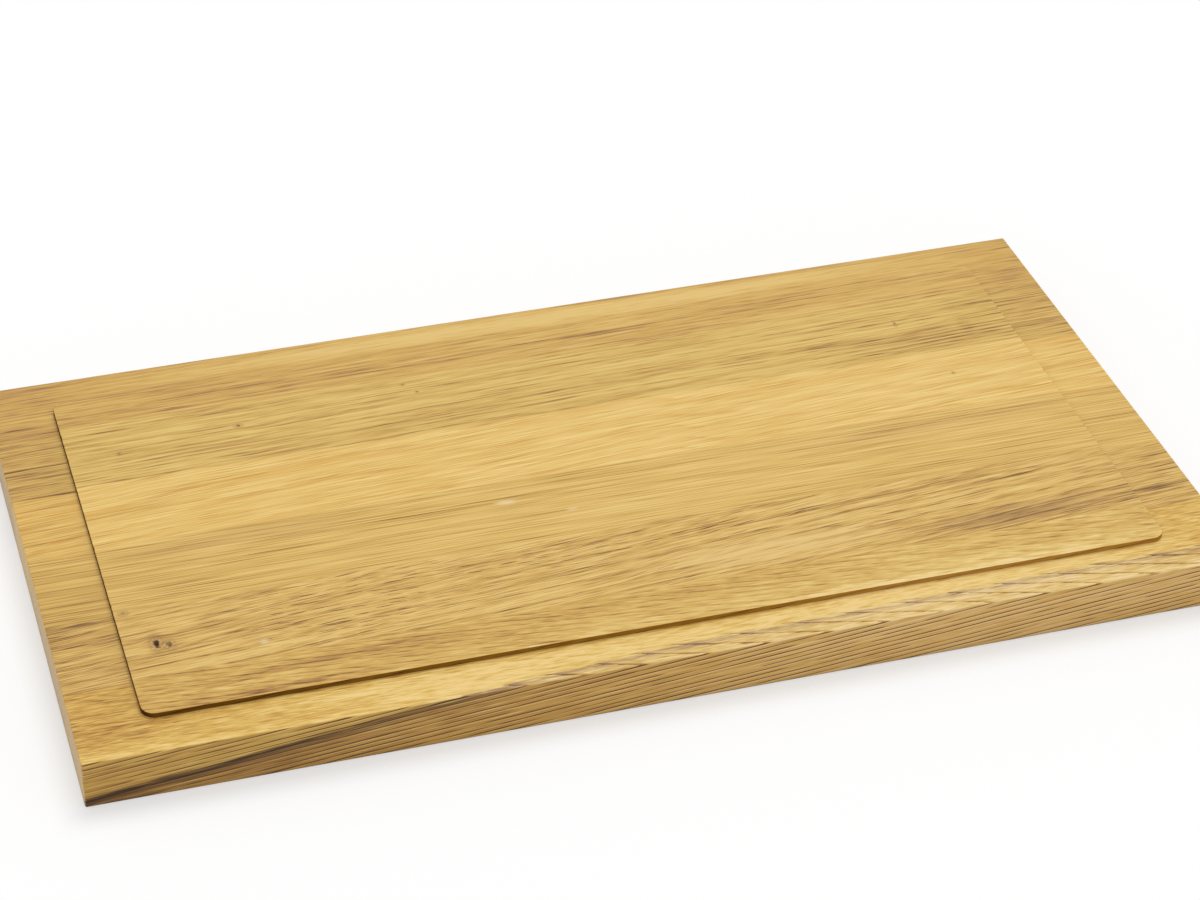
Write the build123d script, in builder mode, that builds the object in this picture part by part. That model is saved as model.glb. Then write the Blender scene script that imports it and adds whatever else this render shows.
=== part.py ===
from build123d import *
import os

# Serving board of solid oak. Staves are glued edge to edge, the glued panel is trimmed to
# size, and a shallow rebate is milled round its top, so that a platform with rounded
# corners stands proud of a lower rim. All outer edges are sanded to a small radius.
#
# Origin: centre of the underside. X runs along the grain, Y from front to back, Z up.
# All lengths are in millimetres.

# Finished board
board_length = 500.0
board_width = 280.0
board_thickness = 24.0
edge_radius = 1.0

# Milled platform
step_height = 2.3
end_margin = 28.5
side_margin = 21.5
platform_corner_radius = 6.0
platform_edge_radius = 0.4

# Glued panel: staves of one width, less what is trimmed off the first and the last one
stave_count = 6
front_trim = 1.6
back_trim = 2.8

# Sizes that follow from these
rim_thickness = board_thickness - step_height
platform_length = board_length - 2 * end_margin
platform_width = board_width - 2 * side_margin
stave_width = (front_trim + board_width + back_trim) / stave_count
front_edge = -board_width / 2
back_edge = board_width / 2

# Outer form of the finished board: the rim slab with its sanded edges, then the platform
with BuildPart() as outer_form:
    with BuildSketch(Plane.XY):
        Rectangle(board_length, board_width)
    extrude(amount=rim_thickness)
    fillet(outer_form.edges(), edge_radius)
    with BuildSketch(Plane.XY.offset(rim_thickness)):
        RectangleRounded(platform_length, platform_width, platform_corner_radius)
    extrude(amount=step_height)
    fillet(outer_form.edges().group_by(Axis.Z)[-1], platform_edge_radius)

# Staves: each one is a full-length strip between two glue lines, worked to the outer form
# together with its neighbours, so that the platform and the rim run on across the joints
os.makedirs("parts", exist_ok=True)
panel_edge = front_edge - front_trim
glue_lines = [panel_edge + stave_width * joint for joint in range(1, stave_count)]
stave_edges = [front_edge] + glue_lines + [back_edge]

for place in range(stave_count):
    near_edge = stave_edges[place]
    far_edge = stave_edges[place + 1]

    with BuildPart() as stave:
        with BuildSketch(Plane.YZ):
            with Locations(((near_edge + far_edge) / 2, board_thickness / 2)):
                Rectangle(far_edge - near_edge, board_thickness)
        extrude(amount=board_length / 2, both=True)
        add(outer_form.part, mode=Mode.INTERSECT)

    if place == 0:
        stave_name = "front_stave"
    elif place == stave_count - 1:
        stave_name = "back_stave"
    else:
        stave_name = f"inner_stave_{place}"
    stave.part.label = stave_name
    export_step(stave.part, f"parts/{stave_name}.step")
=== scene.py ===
import math

import bmesh
import bpy
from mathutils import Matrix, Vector, noise
from mathutils.geometry import delaunay_2d_cdt


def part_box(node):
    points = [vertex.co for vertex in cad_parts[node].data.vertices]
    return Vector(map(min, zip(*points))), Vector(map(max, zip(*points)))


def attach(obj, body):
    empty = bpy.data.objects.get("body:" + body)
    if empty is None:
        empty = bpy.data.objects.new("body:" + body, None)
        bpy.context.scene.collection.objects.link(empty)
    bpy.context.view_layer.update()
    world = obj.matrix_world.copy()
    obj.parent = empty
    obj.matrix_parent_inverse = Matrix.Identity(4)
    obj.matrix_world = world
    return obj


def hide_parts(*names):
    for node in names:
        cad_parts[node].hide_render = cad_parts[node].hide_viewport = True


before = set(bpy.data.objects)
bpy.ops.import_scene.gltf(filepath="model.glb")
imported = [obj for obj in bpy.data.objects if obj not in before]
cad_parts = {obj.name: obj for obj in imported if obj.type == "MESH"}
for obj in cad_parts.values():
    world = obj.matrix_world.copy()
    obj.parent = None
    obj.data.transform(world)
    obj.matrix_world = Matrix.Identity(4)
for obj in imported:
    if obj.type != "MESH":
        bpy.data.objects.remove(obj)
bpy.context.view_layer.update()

# FRONT STAVE
# One of six full-length strips of European oak that are glued edge to edge. The glued panel
# is cut to size, a router takes the rim down so that a platform stands proud, and the edges
# are eased with fine paper. This strip has the front edge and the dark heart streak.

# Lengths are in millimetres until a stave is finished
MM = 0.001
board_half_length = 250.0
board_half_width = 140.0
board_corner = 1.0
easing = 0.6                   # radius of the sanded outer edges, where the paper took least
rim_height = 21.7
platform_half_length = 221.5
platform_half_width = 118.5
platform_corner = 6.0
platform_height = 24.0
platform_easing = 0.25
foot_radius = 0.15             # what the router bit leaves in the corner under the platform
support = 0.3                  # narrow band that keeps a flat face flat beside a rounded edge
arc_steps = 5
corner_steps = 8
long_step = 4.0
short_step = 1.25


def outline(half_length, half_width, corner):
    """Places and outward directions round a rectangle with rounded corners, from above."""
    found = []
    for side_x, side_y, start in ((-1, -1, 180), (1, -1, 270), (1, 1, 0), (-1, 1, 90)):
        centre = Vector((side_x * (half_length - corner), side_y * (half_width - corner)))
        for step in range(corner_steps + 1):
            angle = math.radians(start + 90 * step / corner_steps)
            outward = Vector((math.cos(angle), math.sin(angle)))
            found.append((centre + outward * corner, outward))
        if side_x == side_y:
            steps, half = round(2 * board_half_length / long_step), half_length
        else:
            steps, half = round(2 * board_half_width / short_step), half_width
        reach = 2 * (half - corner)
        heading = Vector((-outward.y, outward.x))
        last = found[-1][0]
        for step in range(1, steps):
            found.append((last + heading * reach * step / steps, outward))
    return found


def unevenness(place, size, seed):
    """Slow change along an edge that is worked by hand, from -1 to 1, none at the corners."""
    straight = 20              # it has its full effect this far from a corner
    to_corner = Vector((board_half_length - abs(place.x), board_half_width - abs(place.y)))
    wave = noise.noise(Vector((place.x / size, place.y / size, seed)))
    return wave * min(1, to_corner.length / straight)


def tear_out(place, outward):
    """Depth of the splinters that the router tears from the wood along the platform."""
    splinter_length, splinter_width, seed = 9, 1.7, 7.3
    deepest = 0.55 if abs(outward.x) > 0.9 else 0.08     # from end grain, or along the fibres
    bite = noise.noise(Vector((place.x / splinter_length, place.y / splinter_width, seed)))
    return max(0.0, bite - 0.18) * deepest


def sanded(across, up, most, size, seed):
    """How a ring round an eased edge shifts where the paper took more."""
    def shift(place, outward):
        taken = most * abs(unevenness(place, size, seed))
        return -taken * across, taken * up
    return shift


def splintered(across, up):
    """How a ring round the top edge of the platform shifts where splinters are missing."""
    def shift(place, outward):
        depth = tear_out(place, outward)
        return -depth * (0.3 + 0.7 * across), -depth * up
    return shift


def worked_panel():
    """The whole panel as it leaves the router and the sander, as a closed mesh."""
    panel = bmesh.new()
    rings = []

    def ring(half_length, half_width, corner, height, shift=None):
        row = []
        for place, outward in outline(half_length, half_width, corner):
            sideways, upwards = shift(place, outward) if shift else (0.0, 0.0)
            spot = place + outward * sideways
            row.append(panel.verts.new((spot.x, spot.y, height + upwards)))
        rings.append(row)

    def slab_ring(inset, height, shift=None):
        ring(board_half_length - inset, board_half_width - inset,
             max(board_corner - inset, 0), height, shift)

    def platform_ring(inset, height, shift=None):
        ring(platform_half_length - inset, platform_half_width - inset,
             platform_corner - inset, height, shift)

    quarter = [math.pi / 2 * step / arc_steps for step in range(arc_steps + 1)]
    arc = [(1 - math.sin(angle), 1 - math.cos(angle)) for angle in quarter]
    slab_ring(easing + support, 0)
    for across, up in arc:
        slab_ring(easing * across, easing * up, sanded(across, up, 0.15, 40, 1))
    for across, up in reversed(arc):
        slab_ring(easing * across, rim_height - easing * up, sanded(across, -up, 0.2, 25, 2))
    slab_ring(easing + support, rim_height)
    platform_ring(-foot_radius - support, rim_height)
    for across, up in arc:
        platform_ring(-foot_radius * across, rim_height + foot_radius * up)
    for across, up in reversed(arc):
        platform_ring(platform_easing * across, platform_height - platform_easing * up,
                      splintered(across, up))
    platform_ring(platform_easing + support, platform_height, splintered(1, 0))

    for lower, upper in zip(rings, rings[1:]):
        for here in range(len(lower)):
            after = (here + 1) % len(lower)
            panel.faces.new((lower[here], lower[after], upper[after], upper[here]))
    panel.faces.new(list(reversed(rings[0])))
    panel.faces.new(rings[-1])
    bmesh.ops.remove_doubles(panel, verts=panel.verts, dist=0.002)
    bmesh.ops.recalc_face_normals(panel, faces=panel.faces)
    return panel


panel = worked_panel()


def sink_knots(stave, knots):
    """Leaves a small pit in the platform where each pin knot has dried and shrunk."""
    pit_rings = (0.0, 0.35, 0.6, 0.8, 1.0, 1.35, 1.8)
    pit_corners = 16
    raggedness = 0.16
    top = max(stave.faces, key=lambda face: face.calc_area() * (face.normal.z > 0.9))
    border = list(top.verts)
    points = [Vector(vert.co.xy) for vert in border]
    for x, y, half_x, half_y, _ in knots:
        for share in pit_rings:
            count = pit_corners if share else 1
            for step in range(count):
                angle = 2 * math.pi * step / count + share
                wave = noise.noise(Vector((x + 2 * math.cos(angle), math.sin(angle) * 2, y)))
                ragged = 1 + raggedness * wave
                points.append(Vector((x + math.cos(angle) * half_x * share * ragged,
                                      y + math.sin(angle) * half_y * share * ragged)))
    flat, _, faces, *_ = delaunay_2d_cdt(points, [], [list(range(len(border)))], 1, 1e-6)
    stave.faces.remove(top)
    verts = list(border)
    for spot in flat[len(border):]:
        sunk = 0.0
        for x, y, half_x, half_y, depth in knots:
            reach = math.hypot((spot.x - x) / half_x, (spot.y - y) / half_y)
            sunk = max(sunk, depth * max(0.0, 1 - reach ** 2))
        verts.append(stave.verts.new((spot.x, spot.y, platform_height - sunk)))
    for face in faces:
        stave.faces.new([verts[i] for i in face])


def cut_stave(name, knots=()):
    """The part of the worked panel that lies between the stave's two glue lines."""
    sharpest_curve = math.radians(40)
    low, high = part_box(name)
    stave = panel.copy()
    for face_y, outward in ((low.y / MM, -1), (high.y / MM, 1)):
        if abs(face_y) > board_half_width - 0.1:
            continue
        cut = bmesh.ops.bisect_plane(
            stave, geom=stave.verts[:] + stave.edges[:] + stave.faces[:], dist=1e-5,
            plane_co=(0, face_y, 0), plane_no=(0, outward, 0), clear_outer=True)
        rim = [item for item in cut["geom_cut"] if isinstance(item, bmesh.types.BMEdge)]
        bmesh.ops.holes_fill(stave, edges=rim)
    if knots:
        sink_knots(stave, knots)
    bmesh.ops.recalc_face_normals(stave, faces=stave.faces)
    bmesh.ops.scale(stave, vec=(MM, MM, MM), verts=stave.verts)
    mesh = bpy.data.meshes.new(name + "_oak")
    stave.to_mesh(mesh)
    stave.free()
    mesh.shade_smooth()
    mesh.set_sharp_from_angle(angle=sharpest_curve)
    piece = bpy.data.objects.new(name + "_oak", mesh)
    bpy.context.scene.collection.objects.link(piece)
    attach(piece, "root")
    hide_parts(name)
    return piece


def linear(code, alpha=1.0):
    """An sRGB hex colour as the linear RGBA that a shader takes."""
    channels = [int(code[i:i + 2], 16) / 255 for i in (0, 2, 4)]
    return [c / 12.92 if c <= 0.04045 else ((c + 0.055) / 1.055) ** 2.4
            for c in channels] + [alpha]


def greys(*stops):
    """The stops of a ramp from their positions and values."""
    return [(position, (value, value, value, 1)) for position, value in stops]


def add_node(tree, kind, settings=None, links=None):
    """Adds a node, sets its properties, inputs, ramp or curve, wires what is given, and
    returns its outputs."""
    node = tree.nodes.new("ShaderNode" + kind)
    for key, value in (settings or {}).items():
        if key == "ramp":
            stops = node.color_ramp.elements
            while len(stops) < len(value):
                stops.new(0.5)
            for stop, (position, colour) in zip(stops, value):
                stop.position = position
                stop.color = colour
        elif key == "curve":
            points = node.mapping.curves[0].points
            while len(points) < len(value):
                points.new(0.5, 0.5)
            for point, place in zip(points, value):
                point.location = place
            node.mapping.update()
        elif isinstance(key, str) and hasattr(node, key):
            setattr(node, key, value)
        else:
            node.inputs[key].default_value = value
    for key, source in (links or {}).items():
        tree.links.new(source, node.inputs[key])
    return node.outputs


FIRST, SECOND, MIXED = 6, 7, 2   # the colour sockets of a Mix node


def add_layers(tree, value, layers):
    """Makes a value uneven: adds to it each layer times its share."""
    for layer, share in layers:
        value = add_node(tree, "Math", {"operation": "MULTIPLY_ADD", 1: share},
                         {0: layer, 2: value})[0]
    return value


def oak(name, timber):
    """Sawn, sanded oak on board coordinates in millimetres. Rings are cylinders about the
    pith, fibres run along X, and pores, rays and streaks are drawn out along the fibres.

    Each timber has a seed; lean, the slope of its fibres sideways and upwards; wander, their
    waves as length, width, sideways and upwards; pith, its Y and Z; ring_width; line, the
    share of a ring that is earlywood; base, the depth of tone to start from; ends, how much
    deeper it is at the left and the right end; and the strength of its rings, pores, streaks,
    fibres and clouds. It may have knots; downwards, how fast things change downwards beside
    sideways; askew, the slope of the fibres on the platform; ring_course, points that the
    rings follow; ring_change and torn_rings, how uneven rings are; flat_line, the strength of
    a ring that is cut flat; gaps in rings as length, nothing below and all above; fibre_size;
    and pore_length."""
    material = bpy.data.materials.new(name)
    material.use_nodes = True
    tree = material.node_tree
    tree.nodes.clear()
    coordinates = add_node(tree, "TexCoord")
    spot = add_node(tree, "VectorMath", {"operation": "SCALE", "Scale": 1 / MM},
                    {0: coordinates["Object"]})[0]
    along, _, height = add_node(tree, "SeparateXYZ", links={0: spot})
    wood = {"material": material, "tree": tree, "spot": spot, "facing": coordinates["Normal"]}

    def drawn_out(source, length, width, seed, detail=2.0, roughness=0.5, output="Fac"):
        """Noise that is so long along the fibres and so wide across them."""
        scaled = add_node(tree, "VectorMath", {"operation": "MULTIPLY", 1: (
            1 / length, 1 / width, timber.get("downwards", 1.0) / width)}, {0: source})[0]
        return add_node(tree, "TexNoise", {
            "noise_dimensions": "4D", "W": timber["seed"] + seed, "Scale": 1.0,
            "Detail": detail, "Roughness": roughness}, {"Vector": scaled})[output]

    # Fibres lean by so much per millimetre along the board, and wander a little
    lean = add_node(tree, "VectorMath", {"operation": "SCALE", 0: (0, *timber["lean"])},
                    {"Scale": along})[0]
    grain = add_node(tree, "VectorMath", {"operation": "SUBTRACT"}, {0: spot, 1: lean})[0]
    for length, width, sideways, upwards in timber["wander"]:
        drift = drawn_out(grain, length, width, length, output="Color")
        grain = add_node(tree, "VectorMath", {
            "operation": "MULTIPLY_ADD", 1: (0, sideways, upwards)}, {0: drift, 2: grain})[0]

    # Fibres part round a knot, up to 10 of its half lengths or 4 of its half widths away
    for x, y, half_x, half_y, _ in timber.get("knots", ()):
        away = add_node(tree, "VectorMath", {
            "operation": "SUBTRACT", 1: (x, y, platform_height)}, {0: spot})[0]
        scaled = add_node(tree, "VectorMath", {
            "operation": "MULTIPLY", 1: (0.1 / half_x, 0.25 / half_y, 0.1)}, {0: away})[0]
        reach = add_node(tree, "VectorMath", {"operation": "LENGTH"}, {0: scaled})["Value"]
        pull = add_node(tree, "MapRange", {
            "interpolation_type": "SMOOTHSTEP", "To Min": -0.6, "To Max": 0.0},
            {"Value": reach})[0]
        across = add_node(tree, "VectorMath", {"operation": "MULTIPLY", 1: (0, 1, 1)},
                          {0: away})[0]
        grain = add_node(tree, "VectorMath", {"operation": "MULTIPLY_ADD"},
                         {0: across, 1: pull, 2: grain})[0]
    wood["grain"] = grain

    # Three sizes of unevenness along the fibres, the finest of them askew on the platform
    wood["low"] = add_node(tree, "MapRange", {
        "From Min": rim_height + 0.3, "From Max": rim_height + 0.1}, {"Value": height})[0]
    askew = add_node(tree, "MapRange", {"To Min": timber.get("askew", 0.0), "To Max": 0.0},
                     {"Value": wood["low"]})[0]
    askew = add_node(tree, "Math", {"operation": "MULTIPLY"}, {0: askew, 1: along})[0]
    askew = add_node(tree, "VectorMath", {"operation": "SCALE", 0: (0, 1, 0)},
                     {"Scale": askew})[0]
    askew = add_node(tree, "VectorMath", {"operation": "ADD"}, {0: grain, 1: askew})[0]
    for layer, source, length, width, detail, roughness in (
            ("clouds", grain, 150, 13, 2.0, 0.5), ("streaks", grain, 120, 1.7, 2.0, 0.6),
            ("fibres", askew, *timber.get("fibre_size", (30, 0.85)), 2.0, 0.65)):
        value = drawn_out(source, length, width, 10 + width, detail, roughness)
        wood[layer] = add_node(tree, "Math", {"operation": "SUBTRACT", 1: 0.5}, {0: value})[0]

    # Growth rings: open earlywood starts each ring at once and closes into latewood. A ring
    # that is cut square is a crisp line, and one that is cut flat is broad and faint.
    flat = add_node(tree, "VectorMath", {"operation": "MULTIPLY", 1: (0, 1, 1)},
                    {0: grain})[0]
    if "ring_course" in timber:
        off_middle = 50.0      # no point of the course lies further from the board's middle
        share = add_node(tree, "MapRange", {
            "From Min": -board_half_length, "From Max": board_half_length},
            {"Value": along})[0]
        curve = [(0.5 + x / (2 * board_half_length), 0.5 + y / (2 * off_middle))
                 for x, y in timber["ring_course"]]
        bend = add_node(tree, "FloatCurve", {"curve": curve}, {"Value": share})[0]
        bend = add_node(tree, "MapRange", {"To Min": -off_middle, "To Max": off_middle},
                        {"Value": bend})[0]
        bend = add_node(tree, "VectorMath", {"operation": "SCALE", 0: (0, 1, 0)},
                        {"Scale": bend})[0]
        flat = add_node(tree, "VectorMath", {"operation": "SUBTRACT"}, {0: flat, 1: bend})[0]
    outwards = add_node(tree, "VectorMath", {"operation": "SUBTRACT", 1: (0, *timber["pith"])},
                        {0: flat})[0]
    radius = add_node(tree, "VectorMath", {"operation": "LENGTH"}, {0: outwards})["Value"]
    age = add_node(tree, "Math", {"operation": "DIVIDE", 1: timber["ring_width"]},
                   {0: radius})[0]
    age = add_layers(tree, age, (
        (drawn_out(grain, 240, 16, 3), timber.get("ring_change", 2.0)),
        (wood["fibres"], timber.get("torn_rings", 0.15))))
    wood["phase"] = add_node(tree, "Math", {"operation": "FRACT"}, {0: age})[0]
    open_wood = timber["line"]
    early = add_node(tree, "ValToRGB", {"ramp": greys(
        (0.0, 1), (open_wood / 3, 0.8), (open_wood, 0.12), (1 - open_wood / 4, 0), (1.0, 1))},
        {0: wood["phase"]})["Color"]
    radial = add_node(tree, "VectorMath", {"operation": "NORMALIZE"}, {0: outwards})[0]
    square_on = add_node(tree, "VectorMath", {"operation": "DOT_PRODUCT"},
                         {0: radial, 1: wood["facing"]})["Value"]
    crisp = add_node(tree, "Math", {"operation": "POWER", 1: 2.0}, {0: square_on})[0]
    crisp = add_node(tree, "MapRange", {"To Min": 1.0, "To Max": timber.get("flat_line", 0.35)},
                     {"Value": crisp})[0]
    gap_length, nothing_below, all_above = timber.get("gaps", (45, 0.36, 0.56))
    clear = add_node(tree, "MapRange", {"From Min": nothing_below, "From Max": all_above},
                     {"Value": drawn_out(grain, gap_length, 2.4, 5)})[0]
    clear = add_node(tree, "Math", {"operation": "MULTIPLY"}, {0: clear, 1: crisp})[0]
    wood["line"] = add_node(tree, "Math", {"operation": "MULTIPLY"}, {0: early, 1: clear})[0]

    # Pores, cut along their length: long thin dashes, crowded in the earlywood. Real ones are
    # about 0.3 mm wide, and are drawn half a millimetre wide so that they still show.
    spacing = 1.05
    cells = add_node(tree, "VectorMath", {"operation": "MULTIPLY", 1: (
        1 / timber.get("pore_length", 14), 1 / spacing, 1 / spacing)}, {0: grain})[0]
    nearest = add_node(tree, "TexVoronoi", {"Scale": 1.0, "Randomness": 1.0},
                       {"Vector": cells})["Distance"]
    crowded = add_layers(tree, nearest, [(wood["line"], -0.25)])
    wood["pore"] = add_node(tree, "MapRange", {
        "From Min": 0.08, "From Max": 0.36, "To Min": 1.0, "To Max": 0.0},
        {"Value": crowded})[0]

    # Depth of tone, from pale at 0 to dark at 1. The board pales a little to the right, its
    # rings and streaks are fainter on the rim, and it is darker at both ends.
    paling = -0.0002           # per millimetre
    depth = add_node(tree, "Math", {"operation": "MULTIPLY", 1: paling}, {0: along})[0]
    depth = add_node(tree, "Math", {"operation": "ADD", 1: timber["base"]}, {0: depth})[0]
    for layer, strength, on_the_rim in (
            ("line", timber["rings"], 0.5), ("streaks", timber["streaks"], 0.6),
            ("clouds", timber["clouds"], 1.0), ("fibres", timber["fibres"], 1.0)):
        contrast = add_node(tree, "MapRange", {
            "To Min": strength, "To Max": strength * on_the_rim}, {"Value": wood["low"]})[0]
        depth = add_node(tree, "Math", {"operation": "MULTIPLY_ADD"},
                         {0: wood[layer], 1: contrast, 2: depth})[0]
    depth = add_layers(tree, depth, [(wood["pore"], timber["pores"])])
    left_end, right_end = [
        add_node(tree, "MapRange", {"From Min": start, "From Max": full, "To Max": change},
                 {"Value": along})[0]
        for start, full, change in zip((-205.0, 195.0), (-230.0, 240.0), timber["ends"])]
    depth = add_node(tree, "Math", {"operation": "MULTIPLY_ADD"},
                     {0: wood["low"], 1: left_end, 2: depth})[0]
    wood["depth"] = add_node(tree, "Math", {"operation": "ADD"}, {0: depth, 1: right_end})[0]

    # Where a patch of tone ends, its border is streaky
    ragged = add_node(tree, "VectorMath", {"operation": "SCALE", 0: (0, 8, 8)},
                      {"Scale": wood["streaks"]})[0]
    wood["ragged"] = add_node(tree, "VectorMath", {"operation": "ADD"},
                              {0: spot, 1: ragged})[0]
    return wood


def within(wood, x, y, half_x, half_y, slope):
    """1 in the middle of an ellipse on the top face and 0 at its streaky edge."""
    tree = wood["tree"]
    half_z = 60                # more than the board is thick
    local = add_node(tree, "Mapping", {
        "vector_type": "TEXTURE", "Location": (x, y, platform_height),
        "Rotation": (0, 0, math.atan(slope)), "Scale": (half_x, half_y, half_z)},
        {"Vector": wood["ragged"]})[0]
    reach = add_node(tree, "VectorMath", {"operation": "LENGTH"}, {0: local})["Value"]
    return add_node(tree, "MapRange", {
        "interpolation_type": "SMOOTHSTEP", "From Min": 0.2, "From Max": 1.0,
        "To Min": 1.0, "To Max": 0.0}, {"Value": reach})[0]


def shade(wood, places):
    """Darkens or lightens the wood in some places: an ellipse and the change of depth."""
    wood["depth"] = add_layers(wood["tree"], wood["depth"], [
        (within(wood, *ellipse), change) for *ellipse, change in places])


def tone(wood, colours, stains=()):
    """Turns depth into colour, pale to dark, and then stains some places: an ellipse, a
    share and a colour."""
    tree = wood["tree"]
    colour = add_node(tree, "ValToRGB", {"ramp": [(at, linear(code)) for at, code in colours]},
                      {0: wood["depth"]})["Color"]
    for *ellipse, share, code in stains:
        amount = add_node(tree, "Math", {"operation": "MULTIPLY", 1: share},
                          {0: within(wood, *ellipse)})[0]
        colour = add_node(tree, "Mix", {"data_type": "RGBA", SECOND: linear(code)},
                          {"Factor": amount, FIRST: colour})[MIXED]
    wood["colour"] = colour


def tint(wood, share, colour):
    """Multiplies the wood's colour by another one, by a share from 0 to 1."""
    tinted = add_node(wood["tree"], "Mix", {
        "data_type": "RGBA", "blend_type": "MULTIPLY", "Factor": 1.0, SECOND: colour},
        {FIRST: wood["colour"]})[MIXED]
    wood["colour"] = add_node(wood["tree"], "Mix", {"data_type": "RGBA"}, {
        "Factor": share, FIRST: wood["colour"], SECOND: tinted})[MIXED]


def oil_and_painted_light(wood):
    """The finish and painted light: end grain is greyer, the platform's wall is darker, partly
    as the cutter's burnish and partly as painted shade, its eased front edge has a painted
    highlight, the board's eased lower edge a painted shadow, and the dried oil leaves a satin
    sheen."""
    tree = wood["tree"]
    along, _, height = add_node(tree, "SeparateXYZ", links={0: wood["spot"]})
    facing_x, facing_y, facing_z = add_node(tree, "SeparateXYZ", links={0: wood["facing"]})
    above_rim = add_node(tree, "MapRange", {
        "From Min": rim_height + 0.01, "From Max": rim_height + 0.04}, {"Value": height})[0]
    end = add_node(tree, "Math", {"operation": "ABSOLUTE"}, {0: facing_x})[0]
    end = add_node(tree, "MapRange", {"From Min": 0.5, "From Max": 0.95, "To Max": 0.6},
                   {"Value": end})[0]
    end = add_node(tree, "Math", {"operation": "SUBTRACT", "use_clamp": True},
                   {0: end, 1: above_rim})[0]
    wood["colour"] = add_node(tree, "Mix", {"data_type": "RGBA", SECOND: linear("d2bb98")},
                              {"Factor": end, FIRST: wood["colour"]})[MIXED]

    # The wall of the platform: low down its rounded foot too, but higher up only what is
    # steep, so that the eased top edge is left out
    steepest = add_node(tree, "MapRange", {
        "From Min": 22.2, "From Max": 23.0, "To Min": 1.0, "To Max": 0.4},
        {"Value": height})[0]
    upright = add_node(tree, "Math", {"operation": "SUBTRACT"},
                       {0: steepest, 1: facing_z})[0]
    upright = add_node(tree, "Math", {"operation": "MULTIPLY", 1: 4.0, "use_clamp": True},
                       {0: upright})[0]
    wall = add_node(tree, "Math", {"operation": "MULTIPLY"}, {0: above_rim, 1: upright})[0]

    # The wall is darkened partly as the cutter's burnish and partly as painted shade; the
    # painted shade also darkens its rounded foot, deepens towards the left and is deepest on
    # its left end.
    # The platform's eased front edge gets a painted highlight, and the board's eased lower edge
    # a painted shadow where it meets the floor.
    to_left, to_left_end, to_front, near_top, downwards, off_floor = [
        add_node(tree, "MapRange", {"From Min": start, "From Max": full}, {"Value": value})[0]
        for value, start, full in (
            (along, 120.0, -190.0), (facing_x, -0.3, -0.8), (facing_y, -0.1, -0.3),
            (height, 23.6, 23.7), (facing_z, -0.05, -0.5), (height, 0.01, 0.05))]
    for share, mask, change in (
            (above_rim, upright, (0.56, 0.4, 0.165, 1)),
            (to_left, wall, (0.46, 0.456, 0.155, 1)),
            (above_rim, to_left_end, linear("b0907a")),
            (near_top, to_front, (1.18, 1.18, 1.15, 1)),
            (downwards, off_floor, linear("8c8078"))):
        share = add_node(tree, "Math", {"operation": "MULTIPLY"}, {0: share, 1: mask})[0]
        tint(wood, share, change)

    relief = add_layers(tree, wood["fibres"], [(wood["pore"], -1.0)])
    bump = add_node(tree, "Bump", {"Strength": 0.5, "Distance": 0.1 * MM},
                    {"Height": relief})[0]
    sheen = add_node(tree, "MapRange", {"To Min": 0.55, "To Max": 0.7},
                     {"Value": wood["pore"]})[0]
    surface = add_node(tree, "BsdfPrincipled", {"IOR": 1.47, "Specular IOR Level": 0.2}, {
        "Base Color": wood["colour"], "Roughness": sheen, "Normal": bump})[0]
    add_node(tree, "OutputMaterial", links={"Surface": surface})
    return wood["material"]


wood = oak("oak_rift_sawn_with_heart_streak", {
    "seed": 1.0, "lean": (0.0, 0.09), "wander": [(140, 40, 3.0, 2.5), (34, 9, 0.4, 0.3)],
    "pith": (-162.0, 102.0), "ring_width": 2.15, "line": 0.26, "ring_change": 0.7,
    "torn_rings": 0.25, "gaps": (60, 0.38, 0.52), "askew": 0.13, "base": 0.36,
    "ends": (0.05, 0.05), "rings": 0.5, "pores": 0.12, "streaks": 0.5, "fibres": 0.95,
    "clouds": 0.45})
tree = wood["tree"]
x, y, z = add_node(tree, "SeparateXYZ", links={0: wood["spot"]})
_, facing_y, facing_z = add_node(tree, "SeparateXYZ", links={0: wood["facing"]})

# The front face cuts the rings square: thin dark lines, each with a pale one beside it,
# broken here and there and calmer at the left end. The face gets lighter to the right.
on_face = add_node(tree, "MapRange", {"From Min": -0.4, "From Max": -0.9},
                   {"Value": facing_y})[0]
on_face = add_node(tree, "Math", {"operation": "MULTIPLY"}, {0: on_face, 1: wood["low"]})[0]
crisp = add_node(tree, "ValToRGB", {"ramp": greys(
    (0.0, 1), (0.1, 1), (0.19, 0.3), (0.28, 0.12), (0.38, 0.12), (0.5, 0.3), (0.93, 0.3),
    (1.0, 1))}, {0: wood["phase"]})["Color"]
crisp = add_node(tree, "Math", {"operation": "MULTIPLY_ADD", 1: 1.9, 2: -0.56}, {0: crisp})[0]
bold = add_node(tree, "MapRange", {
    "From Min": -0.14, "From Max": 0.06, "To Min": 0.45, "To Max": 1.0},
    {"Value": wood["streaks"]})[0]
calmer = add_node(tree, "MapRange", {
    "From Min": -250.0, "From Max": -140.0, "To Min": 0.55, "To Max": 1.05}, {"Value": x})[0]
for strength in (bold, calmer):
    crisp = add_node(tree, "Math", {"operation": "MULTIPLY"}, {0: crisp, 1: strength})[0]
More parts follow.
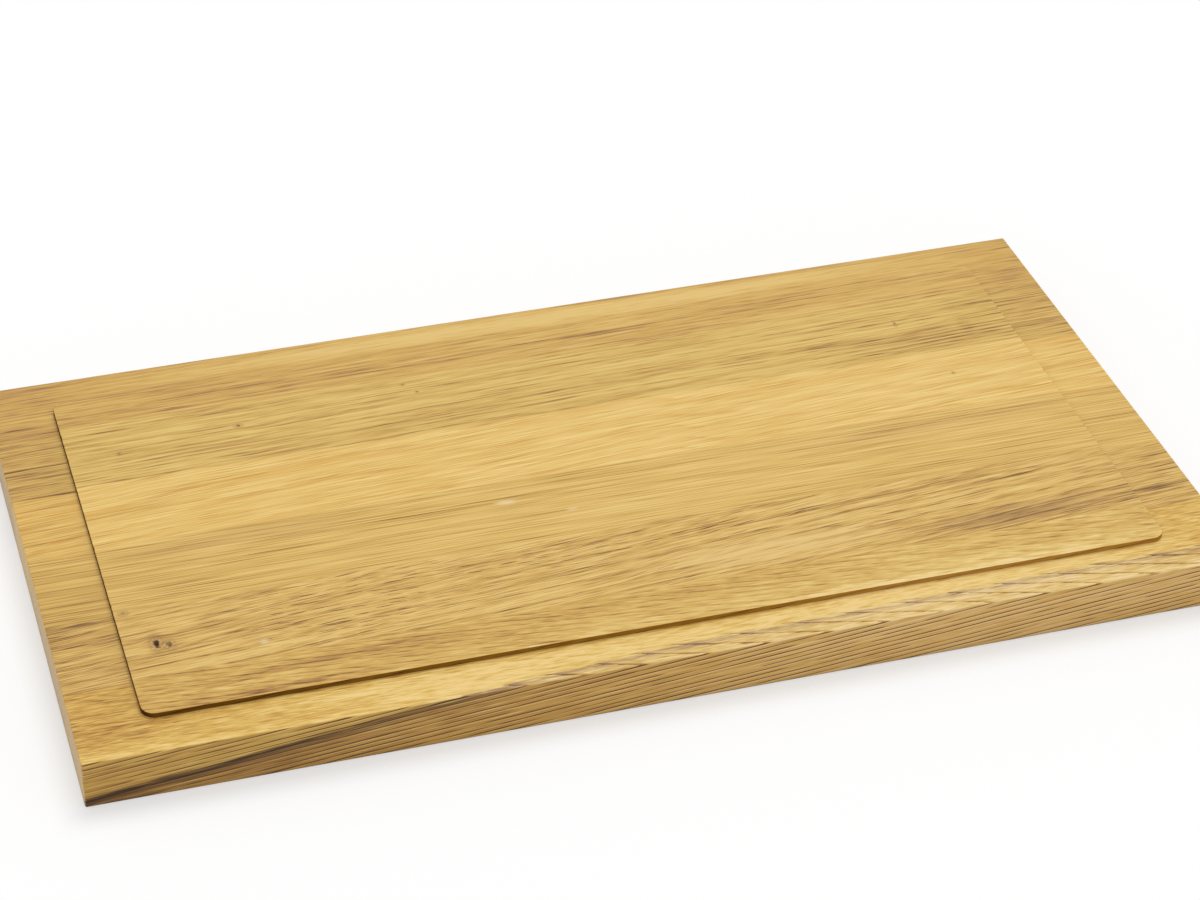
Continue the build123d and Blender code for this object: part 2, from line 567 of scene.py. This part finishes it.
# Noise that breaks the lines, and noise as fine as single fibres
dashes, fine = [
    add_node(tree, "TexNoise", {"Scale": 1.0, "Detail": 1.0}, {
        "Vector": add_node(tree, "VectorMath", {
            "operation": "MULTIPLY", 1: (1 / length, 1 / width, 1 / width)},
            {0: wood["grain"]})[0]})["Fac"]
    for length, width in ((24, 1.7), (18, 0.45))]
unbroken = add_node(tree, "MapRange", {
    "From Min": 0.36, "From Max": 0.5, "To Min": 0.1, "To Max": 1.0}, {"Value": dashes})[0]
fine = add_node(tree, "Math", {"operation": "SUBTRACT", 1: 0.5}, {0: fine})[0]
lighter = add_node(tree, "MapRange", {
    "From Min": -190.0, "From Max": 100.0, "To Min": 0.13, "To Max": -0.05}, {"Value": x})[0]
face_tone = add_node(tree, "Math", {"operation": "MULTIPLY_ADD"},
                     {0: crisp, 1: unbroken, 2: lighter})[0]
face_tone = add_layers(tree, face_tone, (
    (wood["line"], -0.5), (wood["clouds"], -0.45), (wood["streaks"], -0.4),
    (wood["fibres"], -0.35), (fine, 0.45)))

# The rim cuts the rings flat, and they hardly show there. It is palest along its front edge.
level = add_node(tree, "MapRange", {"From Min": 0.5, "From Max": 0.85},
                 {"Value": facing_z})[0]
on_rim = add_node(tree, "Math", {"operation": "MULTIPLY"}, {0: wood["low"], 1: level})[0]
pale_border = add_node(tree, "MapRange", {
    "From Min": -133.5, "From Max": -138.5, "To Max": -0.24}, {"Value": y})[0]
rim_tone = add_layers(tree, pale_border, (
    (wood["fibres"], 0.6), (wood["line"], -0.05), (wood["clouds"], -0.4)))
for change, mask in ((face_tone, on_face), (rim_tone, on_rim)):
    wood["depth"] = add_node(tree, "Math", {"operation": "MULTIPLY_ADD"},
                             {0: change, 1: mask, 2: wood["depth"]})[0]

# The heart streak is a thin dark sheet through the strip. It rises along the front face,
# steeply and then slowly, meets the arris left of the middle, and from there its edge runs
# back over the rim, notched by the rings. It fades to the right.
rises = [add_node(tree, "Math", {"operation": "MULTIPLY_ADD", 1: slope, 2: height}, {0: x})[0]
         for slope, height in ((0.121, 34.6), (0.022, 33.8))]
sheet = add_node(tree, "Math", {"operation": "SMOOTH_MIN", 2: 6.0},
                 {0: rises[0], 1: rises[1]})[0]
back = add_node(tree, "Math", {"operation": "ADD", 1: board_half_width}, {0: y})[0]
sheet = add_layers(tree, sheet, ((wood["streaks"], 3.0), (back, -1.2)))
under = add_node(tree, "Math", {"operation": "SUBTRACT"}, {0: sheet, 1: z})[0]
notched = add_node(tree, "MapRange", {
    "From Min": -110.0, "From Max": -60.0, "To Min": -0.8, "To Max": -2.2}, {"Value": x})[0]
notched = add_node(tree, "Math", {"operation": "MULTIPLY"},
                   {0: wood["phase"], 1: notched})[0]
under = add_node(tree, "Math", {"operation": "ADD"}, {0: under, 1: notched})[0]
under = add_layers(tree, under, ((wood["fibres"], 2.0), (fine, 2.2)))
streak = add_node(tree, "MapRange", {"From Min": -2.0, "From Max": 20.0}, {"Value": under})[0]
streak = add_node(tree, "ValToRGB", {"ramp": greys(
    (0.0, 0), (0.06, 0.12), (0.1, 0.8), (0.16, 1), (0.23, 0.5), (0.32, 0.14), (0.8, 0))},
    {0: streak})["Color"]
to_left = add_node(tree, "MapRange", {
    "From Min": -195.0, "From Max": -55.0, "To Min": 1.0, "To Max": 0.42}, {"Value": x})[0]
to_left = add_layers(tree, to_left, (
    (wood["fibres"], 1.3), (wood["streaks"], 0.8), (fine, 0.8)))
streak = add_node(tree, "Math", {"operation": "MULTIPLY", "use_clamp": True},
                  {0: streak, 1: to_left})[0]

# Below the sheet the wood is brown towards the left, and the rim shows its rings as thin
# strokes, darkest at their tips.
beneath = add_node(tree, "MapRange", {"From Min": -0.5, "From Max": 1.0}, {"Value": under})[0]
brown = add_node(tree, "MapRange", {
    "interpolation_type": "SMOOTHSTEP", "From Min": -60.0, "From Max": 70.0,
    "To Min": 0.18, "To Max": 0.0}, {"Value": x})[0]
fading = add_node(tree, "MapRange", {
    "From Min": 4.0, "From Max": 34.0, "To Min": 1.0, "To Max": 0.0}, {"Value": under})[0]
off_rim = add_node(tree, "MapRange", {"To Min": 1.0, "To Max": 0.35}, {"Value": on_rim})[0]
for strength in (fading, off_rim):
    brown = add_node(tree, "Math", {"operation": "MULTIPLY"}, {0: brown, 1: strength})[0]
stroke = add_node(tree, "ValToRGB", {"ramp": greys(
    (0.0, 1), (0.06, 0.8), (0.13, 0), (0.96, 0), (1.0, 1))}, {0: wood["phase"]})["Color"]
tip = add_node(tree, "MapRange", {
    "From Min": 0.0, "From Max": 6.0, "To Min": 0.85, "To Max": 0.5}, {"Value": under})[0]
stroke = add_node(tree, "Math", {"operation": "MULTIPLY"}, {0: stroke, 1: tip})[0]
brown = add_node(tree, "Math", {"operation": "MULTIPLY_ADD"},
                 {0: stroke, 1: on_rim, 2: brown})[0]
wood["depth"] = add_node(tree, "Math", {"operation": "MULTIPLY_ADD"},
                         {0: brown, 1: beneath, 2: wood["depth"]})[0]

shade(wood, [
    (-150, -103, 90, 4.0, 0.07, 0.22), (-160, -115, 60, 2.0, 0.03, 0.25),
    (-55, -117.5, 16, 1.0, -0.1, 0.3), (60, -97, 120, 3.0, 0.03, 0.12),
    (150, -112, 80, 6.0, 0.0, -0.1), (120, -117.5, 130, 3.5, 0.0, -0.25),
    (-60, -127, 190, 11.0, 0.0, -0.3), (130, -125, 140, 12.0, 0.0, -0.27),
    (-95, -134, 50, 3.5, 0.0, -0.25), (120, -133, 130, 3.5, 0.0, -0.2),
    (-238, -130, 22, 12.0, 0.0, 0.08), (-225, -120.5, 28, 3.0, 0.03, 0.25),
    (-235, -134, 40, 6, 0.0, -0.15), (-238, -110.5, 18, 2.6, 0.0, 0.24)])
tone(wood, [(0.0, "eed294"), (0.12, "e7c880"), (0.25, "dfbd6f"), (0.45, "d0a858"),
            (0.7, "b48748"), (1.0, "704e2e")])

# The rim is pinker below the sheet and more golden above it, and the front face is rosier to
# the right. The streak is greyer on the rim.
below, above, to_right = [
    add_node(tree, "MapRange", {"From Min": start, "From Max": full, "To Max": most},
             {"Value": value})[0]
    for value, start, full, most in (
        (under, 0.5, 3.0, 0.8), (under, 0.5, -1.5, 1.0), (x, -200.0, 100.0, 1.0))]
golden = add_node(tree, "Math", {"operation": "MULTIPLY"}, {0: above, 1: on_rim})[0]
rosy = add_node(tree, "Math", {"operation": "MULTIPLY"}, {0: to_right, 1: on_face})[0]
tint(wood, below, (1.0, 0.995, 1.09, 1))
tint(wood, golden, (1.0, 0.96, 0.83, 1))
heart = add_node(tree, "Mix", {
    "data_type": "RGBA", FIRST: linear("422f25"), SECOND: linear("7c5c5a")},
    {"Factor": on_rim})[MIXED]
wood["colour"] = add_node(tree, "Mix", {"data_type": "RGBA"},
                          {"Factor": streak, FIRST: wood["colour"], SECOND: heart})[MIXED]
tint(wood, rosy, (1.0, 0.925, 0.93, 1))
front_stave = cut_stave("front_stave")
front_stave.data.materials.append(oil_and_painted_light(wood))

# INNER STAVE 1
# The second strip from the front, flat sawn: wide wavy veins, short ray spindles, and two
# black pin knots near its left end. The third knot has no pit: it is only a faint speck.


def add_rays(wood, places, strength, size, turned):
    """Ray spindles, cut across in some places: dark lenses with a pale border, about 9 mm
    long and 0.6 mm wide at size 1, each one turned by its own amount between two."""
    tree = wood["tree"]
    one_each = (1 / (10 * size), 1 / (3.2 * size), 0)    # there is a lens in each 10 x 3.2 mm
    cells = add_node(tree, "VectorMath", {"operation": "MULTIPLY", 1: one_each},
                     {0: wood["grain"]})[0]
    lens = add_node(tree, "TexVoronoi", {
        "voronoi_dimensions": "2D", "Scale": 1.0, "Randomness": 0.9}, {"Vector": cells})
    away = add_node(tree, "VectorMath", {"operation": "SUBTRACT"},
                    {0: cells, 1: lens["Position"]})[0]
    x, y, _ = add_node(tree, "SeparateXYZ", links={0: away})
    chance, askew, _ = add_node(tree, "SeparateXYZ", links={0: lens["Color"]})
    askew = add_node(tree, "MapRange", {"To Min": turned[0], "To Max": turned[1]},
                     {"Value": askew})[0]
    across = add_node(tree, "Math", {"operation": "MULTIPLY"}, {0: x, 1: askew})[0]
    across = add_node(tree, "Math", {"operation": "MULTIPLY_ADD", 1: 9.0},
                      {0: y, 2: across})[0]
    x = add_node(tree, "Math", {"operation": "MULTIPLY", 1: 1.7}, {0: x})[0]
    reach = add_node(tree, "CombineXYZ", links={"X": x, "Y": across})[0]
    reach = add_node(tree, "VectorMath", {"operation": "LENGTH"}, {0: reach})["Value"]
    paler = -0.1
    dash, border = [
        add_node(tree, "MapRange", {
            "interpolation_type": "SMOOTHSTEP", "From Min": start, "From Max": end,
            "To Min": change, "To Max": 0.0}, {"Value": reach})[0]
        for start, end, change in ((0.6, 1.0, strength - paler), (1.0, 2.0, paler))]
    dash = add_node(tree, "Math", {"operation": "ADD"}, {0: dash, 1: border})[0]
    chance = add_node(tree, "MapRange", {"From Min": 0.12, "From Max": 0.55},
                      {"Value": chance})[0]
    dash = add_node(tree, "Math", {"operation": "MULTIPLY"}, {0: dash, 1: chance})[0]
    for ellipse in places:
        wood["depth"] = add_node(tree, "Math", {"operation": "MULTIPLY_ADD"},
                                 {0: within(wood, *ellipse), 1: dash, 2: wood["depth"]})[0]


def blacken_knots(wood, knots):
    """A dry pin knot: black in its pit, then a pale ring, and brown for a little way round
    it, in all as far as four times its half length and half width."""
    tree = wood["tree"]
    for x, y, half_x, half_y, depth in knots:
        away = add_node(tree, "VectorMath", {
            "operation": "SUBTRACT", 1: (x, y, platform_height)}, {0: wood["spot"]})[0]
        away = add_node(tree, "VectorMath", {
            "operation": "MULTIPLY", 1: (0.25 / half_x, 0.25 / half_y, 0)}, {0: away})[0]
        crooked = add_node(tree, "TexNoise", {"Scale": 6.0, "Detail": 1.0},
                           {"Vector": away})["Color"]
        crooked = add_node(tree, "VectorMath", {"operation": "SUBTRACT", 1: (0.5, 0.5, 0.5)},
                           {0: crooked})[0]
        away = add_node(tree, "VectorMath", {"operation": "MULTIPLY_ADD", 1: (0.4, 0.4, 0)},
                        {0: crooked, 2: away})[0]
        reach = add_node(tree, "VectorMath", {"operation": "LENGTH"}, {0: away})["Value"]
        reach = add_layers(tree, reach, [(wood["fibres"], 0.9)])
        dark = min(0.96, 0.45 + 0.6 * depth)
        look = add_node(tree, "ValToRGB", {"ramp": [
            (0.0, linear("2b1f1c", dark)), (0.17, linear("2b1f1c", dark)),
            (0.27, linear("7b5534", 0.7)), (0.38, linear("d0a768", 0.4)),
            (0.55, linear("96703f", 0.4)), (1.0, linear("96703f", 0.0))]}, {0: reach})
        wood["colour"] = add_node(tree, "Mix", {"data_type": "RGBA"}, {
            "Factor": look["Alpha"], FIRST: wood["colour"], SECOND: look["Color"]})[MIXED]


stave_1_knots = [(-207.8, -73.2, 1.05, 2.1, 0.9), (-202.7, -75.4, 0.9, 1.5, 0.4),
                 (-217.5, -48.8, 0.8, 0.8, -0.1)]
wood = oak("oak_flat_sawn_with_pin_knots", {
    "seed": 2.0, "lean": (0.085, 0.0), "wander": [(90, 22, 5.0, 4.0), (14, 5, 0.8, 0.5)],
    "pith": (-30.0, -50.0), "ring_width": 3.6, "line": 0.5, "ring_change": 0.8,
    "flat_line": 0.9, "gaps": (110, 0.22, 0.44), "knots": stave_1_knots,
    "fibre_size": (20, 0.5), "downwards": 0.35, "base": 0.325, "ends": (0.14, 0.15),
    "rings": 0.18, "pores": 0.16, "streaks": 0.09, "fibres": 2.3, "clouds": 0.03})
shade(wood, [
    (-185, -52, 55, 2.0, 0.07, 0.1), (-205, -73, 12, 7, 0.0, 0.2),
    (172, -86, 85, 13, 0.03, 0.32), (55, -80, 60, 11, 0.0, -0.18),
    (165, -55, 60, 7, 0.06, 0.12), (110, -56, 115, 1.6, 0.05, 0.15),
    (-165, -88, 60, 6, 0.03, -0.15), (-50, -86, 60, 6, 0.0, -0.1),
    (-240, -48.5, 22, 1.8, 0.0, 0.12), (238, -81, 20, 3.6, 0.06, 0.3)])
for places, strength, size, turned in (
        ([(-118, -61, 100, 26, 0.0), (-140, -82, 90, 20, 0.0), (-20, -60, 70, 14, 0.0)],
         0.42, 0.85, (-0.5, 5.0)),
        ([(30, -82, 62, 20, 0.0), (50, -58, 60, 14, 0.0)], 0.34, 1.3, (-6.0, -0.5)),
        ([(110, -76, 45, 18, 0.0)], 0.32, 1.3, (1.0, 6.0))):
    add_rays(wood, places, strength, size, turned)
tone(wood, [(0.0, "e6c67d"), (0.2, "e1be73"), (0.45, "d1a959"), (0.7, "b68c4e"),
            (1.0, "6f4f2e")],
     [(55, -80, 70, 13, 0.0, 0.3, "dfbb80"), (172, -85, 80, 11, 0.03, 0.2, "bf9762"),
      (-165, -83.7, 3, 3, 0.0, 0.5, "ecd6a8")])
blacken_knots(wood, stave_1_knots)
inner_stave_1 = cut_stave("inner_stave_1", stave_1_knots[:2])
inner_stave_1.data.materials.append(oil_and_painted_light(wood))

# INNER STAVE 2
# The third strip, rift sawn: long straight fibres and pores with two pale flecks, and greyer
# along its back half.

wood = oak("oak_rift_sawn_straight", {
    "seed": 3.0, "lean": (0.0, 0.0), "wander": [(160, 26, 1.5, 1.5), (20, 5, 0.2, 0.2)],
    "pith": (60.0, -40.0), "ring_width": 1.3, "line": 0.5, "ring_change": 0.6,
    "torn_rings": 0.1, "flat_line": 0.8, "gaps": (90, 0.25, 0.5), "fibre_size": (48, 0.55),
    "pore_length": 45, "downwards": 0.35, "base": 0.32, "ends": (0.14, 0.11),
    "rings": 0.12, "pores": 0.18, "streaks": 0.1, "fibres": 2.25, "clouds": 0.1})
shade(wood, [
    (-35, -24, 110, 8, 0.0, -0.1), (-160, -9, 75, 10, 0.0, 0.1), (-30, -10, 50, 9, 0.0, 0.05),
    (145, -10, 95, 9, 0.0, 0.1), (0, -36, 230, 9, 0.0, -0.08),
    (-75, -13, 45, 3.5, -0.07, 0.1), (-40, -27, 60, 3.0, -0.05, 0.1),
    (-205, -22, 40, 4.0, 0.08, 0.1)])
tone(wood, [(0.0, "e6c679"), (0.2, "e1bd6d"), (0.45, "d5ad5e"), (0.7, "c09850"),
            (1.0, "86632f")],
     [(-160, -9, 75, 10, 0.0, 0.2, "c9a36c"), (145, -10, 95, 9, 0.0, 0.2, "c9a36c"),
      (-44, -14.7, 7, 2.8, -0.08, 0.7, "ead3a2"), (-17.5, -28, 4, 1.0, 0.0, 0.5, "ead3a2")])
inner_stave_2 = cut_stave("inner_stave_2")
inner_stave_2.data.materials.append(oil_and_painted_light(wood))

# INNER STAVE 3
# The fourth strip, the palest: flat sawn, with faint orange cathedral lines. Its one knot is
# too small for a pit.

stave_3_knots = [(180.5, 28.3, 0.35, 0.45, 0.1)]
wood = oak("oak_flat_sawn_pale", {
    "seed": 4.0, "lean": (0.06, 0.0), "wander": [(90, 26, 4.0, 0.4), (14, 5, 1.0, 0.2)],
    "pith": (25.0, -70.0), "ring_width": 4.054, "line": 0.25, "ring_change": 0.7,
    "torn_rings": 0.8, "flat_line": 1.0, "gaps": (45, 0.3, 0.55), "knots": stave_3_knots,
    "ring_course": [(-250, 26), (-222, 35), (-170, 39.5), (-150, 41), (-108, 42.5), (-83, 40),
                    (-45, 39.7), (-17, 43), (30, 43), (70, 32), (120, 30), (180, 22),
                    (250, 12)],
    "fibre_size": (30, 0.5), "pore_length": 30, "downwards": 0.35, "base": 0.325,
    "ends": (0.17, 0.14), "rings": 0.1, "pores": 0.18, "streaks": 0.08, "fibres": 2.6,
    "clouds": 0.08})
shade(wood, [(95, 24, 60, 3, 0.1, -0.1), (-120, 42, 110, 3, 0.05, -0.1),
             (-210, 24, 40, 5, 0.1, 0.15)])
tone(wood, [(0.0, "f0d186"), (0.2, "e8c578"), (0.45, "dfba67"), (0.7, "d3a756"),
            (1.0, "a87a3a")])
cathedral = add_node(wood["tree"], "Math", {"operation": "MULTIPLY", 1: 0.4},
                     {0: wood["line"]})[0]
wood["colour"] = add_node(wood["tree"], "Mix", {"data_type": "RGBA", SECOND: linear("dba450")},
                          {"Factor": cathedral, FIRST: wood["colour"]})[MIXED]
blacken_knots(wood, stave_3_knots)
inner_stave_3 = cut_stave("inner_stave_3")
inner_stave_3.data.materials.append(oil_and_painted_light(wood))

# INNER STAVE 4
# The fifth strip, rift sawn: greenish gold with olive streaks and five pin knots, and darker
# towards the right end of the platform.

stave_4_knots = [(-198.8, 69.5, 0.55, 0.55, 0.25), (-143.7, 77.0, 0.75, 0.65, 0.3),
                 (-65.0, 89.5, 0.45, 0.4, 0.2), (-60.0, 81.8, 0.35, 0.35, 0.2),
                 (169.5, 76.2, 0.35, 0.9, 0.2)]
wood = oak("oak_rift_sawn_olive", {
    "seed": 5.0, "lean": (0.03, 0.0), "wander": [(90, 24, 4.0, 3.0), (14, 5, 0.7, 0.5)],
    "pith": (130.0, -30.0), "ring_width": 2.1, "line": 0.45, "knots": stave_4_knots,
    "downwards": 0.35, "base": 0.33, "ends": (0.22, 0.2), "rings": 0.35, "pores": 0.18,
    "streaks": 0.85, "fibres": 1.75, "clouds": 0.35})
shade(wood, [
    (-150, 63.5, 60, 2.6, -0.02, 0.25), (-140, 53.5, 34, 1.8, 0.03, 0.3),
    (137, 66, 24, 1.8, 0.0, 0.3), (178, 61, 48, 13, 0.0, 0.16), (201, 66, 5, 13, 0.0, 0.12),
    (-160, 77, 35, 1.5, 0.0, 0.2), (-100, 72, 100, 2, 0.03, -0.15),
    (60, 80, 100, 4, 0.03, -0.12), (90, 66, 130, 2, 0.02, 0.2), (160, 51.5, 60, 2, 0.0, 0.2)])
tone(wood, [(0.0, "e2c376"), (0.2, "dcbb6c"), (0.45, "d0ab5b"), (0.7, "b98f4f"),
            (1.0, "7a5834")])
blacken_knots(wood, stave_4_knots)
inner_stave_4 = cut_stave("inner_stave_4", stave_4_knots)
inner_stave_4.data.materials.append(oil_and_painted_light(wood))

# BACK STAVE
# The last strip, trimmed a little narrower: reddish-brown bands along its front half, and a
# pale rim with a thin dark line along the back edge.

wood = oak("oak_rift_sawn_reddish", {
    "seed": 6.0, "lean": (0.02, 0.0), "wander": [(120, 26, 3.0, 2.0), (14, 5, 0.6, 0.4)],
    "pith": (190.0, -40.0), "ring_width": 2.2, "line": 0.45, "base": 0.37,
    "ends": (0.06, 0.13), "rings": 0.26, "pores": 0.16, "streaks": 0.5, "fibres": 1.3,
    "clouds": 0.6})
shade(wood, [
    (-150, 108.5, 90, 2.6, 0.0, 0.22), (-165, 98.5, 16, 1.4, 0.0, 0.3),
    (-97, 98.3, 13, 1.2, 0.0, 0.4), (30, 108, 38, 1.6, 0.02, 0.3),
    (110, 111, 70, 1.8, 0.04, 0.22), (190, 113.5, 35, 2.0, 0.04, 0.28),
    (60, 98, 60, 3, 0.0, 0.15), (-60, 113, 150, 3, 0.01, -0.15), (0, 131, 260, 9, 0.0, -0.38),
    (0, 139.4, 260, 1.0, 0.0, 0.15), (-238, 105, 16, 1.5, 0.0, 0.32),
    (-238, 116.5, 14, 1.3, 0.0, 0.2), (238, 106, 18, 8.0, 0.0, 0.12),
    (238, 111, 16, 1.3, 0.0, 0.2)])
tone(wood, [(0.0, "e2c077"), (0.15, "dcb86c"), (0.3, "d5ae60"), (0.5, "c99f54"),
            (0.7, "b18650"), (1.0, "74532f")])
back_stave = cut_stave("back_stave")
back_stave.data.materials.append(oil_and_painted_light(wood))

panel.free()

# STUDIO
# A white sweep under soft light from above and behind, so that the front edge and the front
# of the platform stay darker than the top.

floor_reach = 6.0
floor_height = -0.1 * MM       # just under the board
floor_mesh = bpy.data.meshes.new("floor")
floor_mesh.from_pydata([(x * floor_reach, y * floor_reach, floor_height)
                        for x, y in ((-1, -1), (1, -1), (1, 1), (-1, 1))], [], [(0, 1, 2, 3)])
floor = bpy.data.objects.new("floor", floor_mesh)
bpy.context.scene.collection.objects.link(floor)


def seen_by_camera(tree):
    """1 for what the camera sees, straight or in a reflection, and 0 for what lights."""
    ray = add_node(tree, "LightPath")
    return add_node(tree, "Math", {"operation": "MAXIMUM"},
                    {0: ray["Is Camera Ray"], 1: ray["Is Glossy Ray"]})[0]


# The camera sees the paper half as white paper, which keeps the shadow, and half as a glow
# that brings it up to pure white
paper = bpy.data.materials.new("matt_white_paper")
paper.use_nodes = True
tree = paper.node_tree
tree.nodes.clear()
white = (1, 1, 1, 1)
seen = seen_by_camera(tree)
reflected = add_node(tree, "Mix", {
    "data_type": "RGBA", FIRST: (0.88, 0.88, 0.88, 1), SECOND: white},
    {"Factor": seen})[MIXED]
matt = add_node(tree, "BsdfDiffuse", links={"Color": reflected})[0]
glow = add_node(tree, "Emission", {"Color": white, "Strength": 1.0})[0]
overexposed = add_node(tree, "Math", {"operation": "MULTIPLY", 1: 0.5}, {0: seen})[0]
surface = add_node(tree, "MixShader", links={0: overexposed, 1: matt, 2: glow})[0]
add_node(tree, "OutputMaterial", links={"Surface": surface})
floor_mesh.materials.append(paper)

world = bpy.data.worlds.new("studio")
bpy.context.scene.world = world
world.use_nodes = True
tree = world.node_tree
tree.nodes.clear()
brightness = add_node(tree, "MapRange", {"To Min": 0.68, "To Max": 1.0},
                      {"Value": seen_by_camera(tree)})[0]
sky = add_node(tree, "Background", {"Color": white}, {"Strength": brightness})[0]
add_node(tree, "OutputWorld", links={"Surface": sky})

softbox_light = bpy.data.lights.new("overhead_softbox", "SUN")
softbox_light.energy = 1.14
softbox_light.angle = math.radians(30)
softbox = bpy.data.objects.new("overhead_softbox", softbox_light)
softbox.rotation_euler = Vector((-0.3, -0.45, -1.0)).to_track_quat("-Z", "Y").to_euler()
bpy.context.scene.collection.objects.link(softbox)

camera_data = bpy.data.cameras.new("camera")
camera_data.lens = 103.65
camera_data.sensor_width = 36.0
camera = bpy.data.objects.new("camera", camera_data)
camera.location = (-0.3506, -1.2113, 0.8794)
looks_at = Vector((0.0168, 0.0470, 0.0))
camera.rotation_euler = (looks_at - camera.location).to_track_quat("-Z", "Y").to_euler()
bpy.context.scene.collection.objects.link(camera)
bpy.context.scene.camera = camera
bpy.context.scene.view_settings.view_transform = "Standard"
